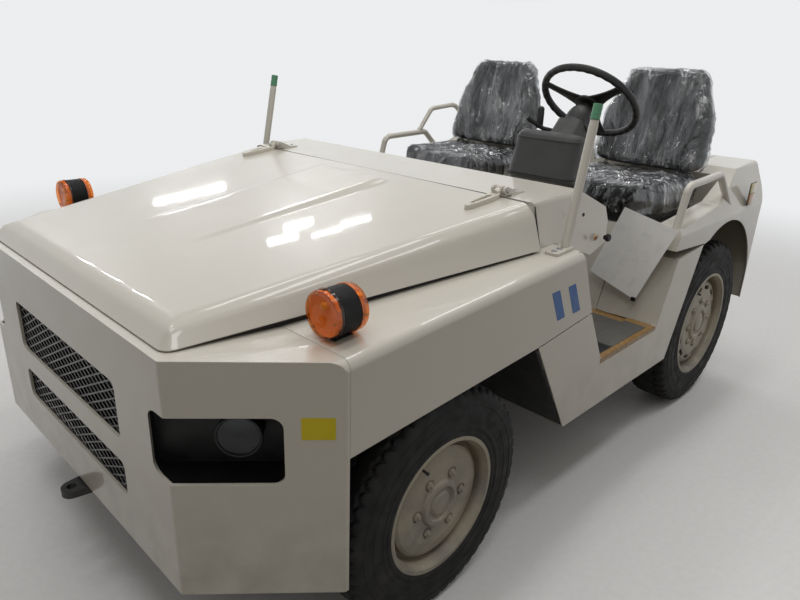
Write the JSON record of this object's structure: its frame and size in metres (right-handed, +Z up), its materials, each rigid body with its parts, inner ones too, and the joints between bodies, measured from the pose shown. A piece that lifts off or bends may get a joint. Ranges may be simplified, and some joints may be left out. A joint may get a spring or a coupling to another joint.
{
  "type": "airport baggage tug",
  "caption": "Open two-seat airport towing tractor with a wedge hood, mesh grille, steered front wheels and a stepped rear coupler for baggage carts.",
  "frame": {"origin": "middle of the overall length and width, on the floor", "axes": "+X forward, +Y the vehicle's left, +Z up"},
  "size_m": [3.31, 1.75, 1.5138],
  "materials": {
    "paint": "gloss",
    "black_paint": "satin",
    "lamp_black": "satin",
    "amber": "gloss",
    "pod": "textured",
    "seat": "vinyl under clear film",
    "iron": "painted",
    "steel": "bare",
    "rim": "satin",
    "cast_paint": "painted",
    "tyre": "matte"
  },
  "bodies": {
    "chassis": {"chassis_frame": "black_paint", "front_panel": "paint", "grille_mesh": "black_paint", "radiator": "black_paint", "cowl": "paint", "fender_left": "paint", "fender_right": "paint", "side_panel_left": "paint", "side_panel_right": "paint", "rear_fender_left": "paint", "rear_fender_right": "paint", "rear_body": "paint", "floor_pan": "black_paint", "headlamp_left": "lamp_black", "headlamp_right": "lamp_black", "turn_lamp_left": "amber", "turn_lamp_right": "amber", "mirror_stay_left": "paint", "mirror_stay_right": "paint", "dash_pod": "pod", "driver_cushion": "seat", "driver_back": "seat", "passenger_cushion": "seat", "passenger_back": "seat", "grab_rail_left": "paint", "grab_rail_right": "paint", "engine": "iron", "front_axle": "iron", "rear_axle": "iron", "hitch": "cast_paint", "front_hook": "black_paint"},
    "hood": {"hood": "paint"},
    "left_knuckle": {"knuckle_left": "iron"},
    "right_knuckle": {"knuckle_right": "iron"},
    "tie_rod": {"tie_rod": "steel"},
    "front_left_wheel": {"front_left_rim": "rim", "front_left_tyre": "tyre"},
    "front_right_wheel": {"front_right_rim": "rim", "front_right_tyre": "tyre"},
    "rear_left_wheel": {"rear_left_rim": "rim", "rear_left_tyre": "tyre"},
    "rear_right_wheel": {"rear_right_rim": "rim", "rear_right_tyre": "tyre"},
    "steering_wheel": {"steering_wheel": "pod"},
    "hitch_pin": {"hitch_pin": "steel"}
  },
  "joints": [
    {"name": "left_steer", "type": "hinge", "parent": "chassis", "child": "left_knuckle", "pos_m": [0.932, 0.6, 0.35], "axis": [0, 0, 1], "range_deg": [-35, 35]},
    {"name": "right_steer", "type": "hinge", "parent": "chassis", "child": "right_knuckle", "pos_m": [0.932, -0.6, 0.35], "axis": [0, 0, 1], "range_deg": [-35, 35]},
    {"name": "tie_rod_swing", "type": "hinge", "parent": "left_knuckle", "child": "tie_rod", "pos_m": [0.782, 0.6, 0.229], "axis": [0, 0, 1], "range_deg": [-35, 35]},
    {"name": "steering_wheel_turn", "type": "hinge", "parent": "chassis", "child": "steering_wheel", "pos_m": [-0.319, 0.45, 1.372], "axis": [-0.6691, 0, 0.7431], "range_deg": [-525, 525]},
    {"name": "hood_hinge", "type": "hinge", "parent": "chassis", "child": "hood", "pos_m": [0.433, 0, 1.138], "axis": [0, -1, 0], "range_deg": [0, 55]},
    {"name": "hitch_pin_lift", "type": "slide", "parent": "chassis", "child": "hitch_pin", "axis": [0, 0, 1], "range_m": [0, 0.26]},
    {"name": "front_left_spin", "type": "hinge", "parent": "left_knuckle", "child": "front_left_wheel", "pos_m": [0.932, 0.785, 0.35], "axis": [0, 1, 0], "continuous": true},
    {"name": "rear_left_spin", "type": "hinge", "parent": "chassis", "child": "rear_left_wheel", "pos_m": [-0.905, 0.76, 0.39], "axis": [0, 1, 0], "continuous": true},
    {"name": "front_right_spin", "type": "hinge", "parent": "right_knuckle", "child": "front_right_wheel", "pos_m": [0.932, -0.785, 0.35], "axis": [0, 1, 0], "continuous": true},
    {"name": "rear_right_spin", "type": "hinge", "parent": "chassis", "child": "rear_right_wheel", "pos_m": [-0.905, -0.76, 0.39], "axis": [0, 1, 0], "continuous": true}
  ],
  "couplings": [
    {"joint": "right_steer", "follows": "left_steer", "ratio": 1},
    {"joint": "tie_rod_swing", "follows": "left_steer", "ratio": -1},
    {"joint": "steering_wheel_turn", "follows": "left_steer", "ratio": 15}
  ]
}
